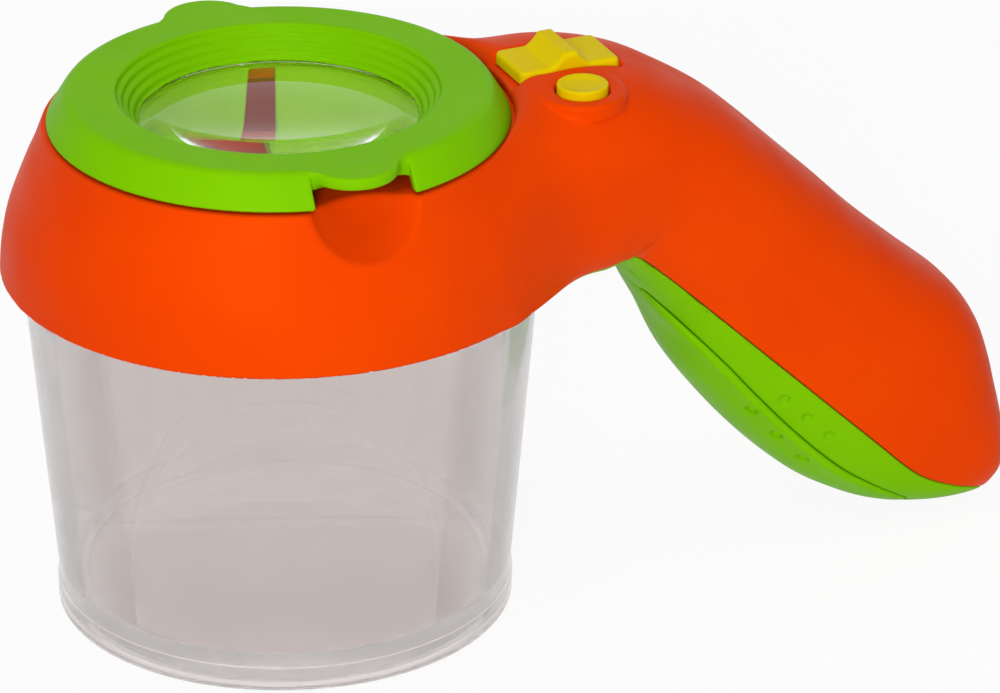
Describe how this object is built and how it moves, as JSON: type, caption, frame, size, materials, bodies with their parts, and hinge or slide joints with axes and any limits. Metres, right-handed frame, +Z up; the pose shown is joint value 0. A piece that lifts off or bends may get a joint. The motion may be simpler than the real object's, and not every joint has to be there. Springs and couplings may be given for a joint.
{
  "type": "insect observation box",
  "caption": "Clear cup under a domed head with a hinged magnifying lens and a sloping grip with a slide switch, a push button and a lamp, for looking at small animals.",
  "frame": {"origin": "centre of the cup's flat underside", "axes": "+Z up, +X towards the end of the grip, +Y to the side with the lid hinge"},
  "size_m": [0.1886, 0.1, 0.0995],
  "materials": {
    "clear_cup": "clear, slightly smoky moulded plastic",
    "orange_plastic": "satin moulded plastic",
    "green_plastic": "satin moulded plastic",
    "yellow_plastic": "satin moulded plastic",
    "black_plastic": "matt moulded plastic",
    "lens_clear": "polished clear plastic lens",
    "lamp_clear": "clear cast lamp body",
    "steel": "zinc plated",
    "contact_brass": "plated sheet metal",
    "board": "green circuit board",
    "cell_jacket": "plain printed jacket",
    "lead_red": "wire sleeve",
    "lead_black": "wire sleeve"
  },
  "bodies": {
    "cup": {"cup": "clear_cup"},
    "housing": {"housing_top": "orange_plastic", "handle_lower_shell": "green_plastic", "lid_hinge_pin": "steel", "case_screw_left": "steel", "case_screw_right": "steel", "case_screw_tip": "steel", "slide_switch": "black_plastic", "button_switch": "black_plastic", "circuit_board": "board", "board_screw_1": "steel", "board_screw_2": "steel", "lamp": "lamp_clear", "battery_holder": "black_plastic", "battery_a": "cell_jacket", "battery_b": "cell_jacket", "battery_spring_a": "steel", "battery_spring_b": "steel", "battery_contact_a": "contact_brass", "battery_contact_b": "contact_brass", "battery_contact_bridge": "contact_brass", "battery_lead_a": "lead_red", "battery_lead_b": "lead_black"},
    "lens_lid": {"lens_ring": "green_plastic", "lens": "lens_clear", "lens_retainer": "green_plastic"},
    "slide_knob": {"slide_knob": "yellow_plastic", "switch_lever": "black_plastic"},
    "push_button": {"push_button": "yellow_plastic", "button_plunger": "black_plastic"},
    "battery_cover": {"battery_cover": "green_plastic", "battery_cover_screw": "steel"}
  },
  "joints": [
    {"name": "housing_lift", "type": "slide", "parent": "cup", "child": "housing", "axis": [0, 0, 1], "range_m": [0, 0.04]},
    {"name": "lens_lid_hinge", "type": "hinge", "parent": "housing", "child": "lens_lid", "pos_m": [-0.00209, 0.03995, 0.0949], "axis": [-0.9986, -0.0523, 0], "range_deg": [0, 90]},
    {"name": "slide_switch_travel", "type": "slide", "parent": "housing", "child": "slide_knob", "axis": [-0.9976, -0.0698, 0], "range_m": [0, 0.002]},
    {"name": "push_button_travel", "type": "slide", "parent": "housing", "child": "push_button", "axis": [0, 0, -1], "range_m": [0, 0.0008], "stiffness_N_per_m": 600, "springref_m": -0.0005},
    {"name": "battery_cover_travel", "type": "slide", "parent": "housing", "child": "battery_cover", "axis": [-0.6947, 0, -0.7193], "range_m": [0, 0.02]}
  ]
}
